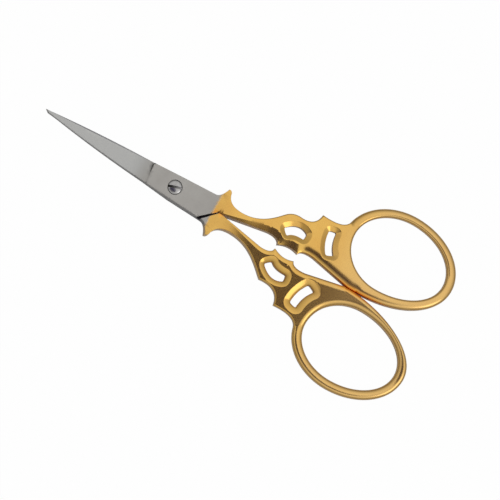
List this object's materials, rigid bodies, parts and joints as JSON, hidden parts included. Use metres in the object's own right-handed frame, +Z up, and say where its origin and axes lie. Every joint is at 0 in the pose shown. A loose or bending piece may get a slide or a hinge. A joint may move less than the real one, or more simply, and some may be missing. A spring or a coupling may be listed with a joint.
{
  "type": "embroidery scissors",
  "caption": "Small embroidery scissors: tapering steel blades crossed on a slotted screw, and gold-plated handles with spurs, pierced shanks and oval finger bows.",
  "frame": {"origin": "on the surface that the closed scissors lie on, under the middle of their overall box", "axes": "+X from the tips to the finger bows, +Y to the bow of the half that carries the screw head's seat, +Z up, out of the screw head"},
  "size_m": [0.0896, 0.0402, 0.0035],
  "materials": {
    "steel": "satin",
    "gold": "polished",
    "screw": "gloss"
  },
  "bodies": {
    "lower_half": {"lower_blade": "steel", "lower_handle": "gold", "pivot_screw": "screw"},
    "upper_half": {"upper_blade": "steel", "upper_handle": "gold"}
  },
  "joints": [
    {"name": "pivot", "type": "hinge", "parent": "lower_half", "child": "upper_half", "pos_m": [-0.01485, 0, 0.0016], "axis": [0, 0, 1], "range_deg": [0, 136]}
  ]
}
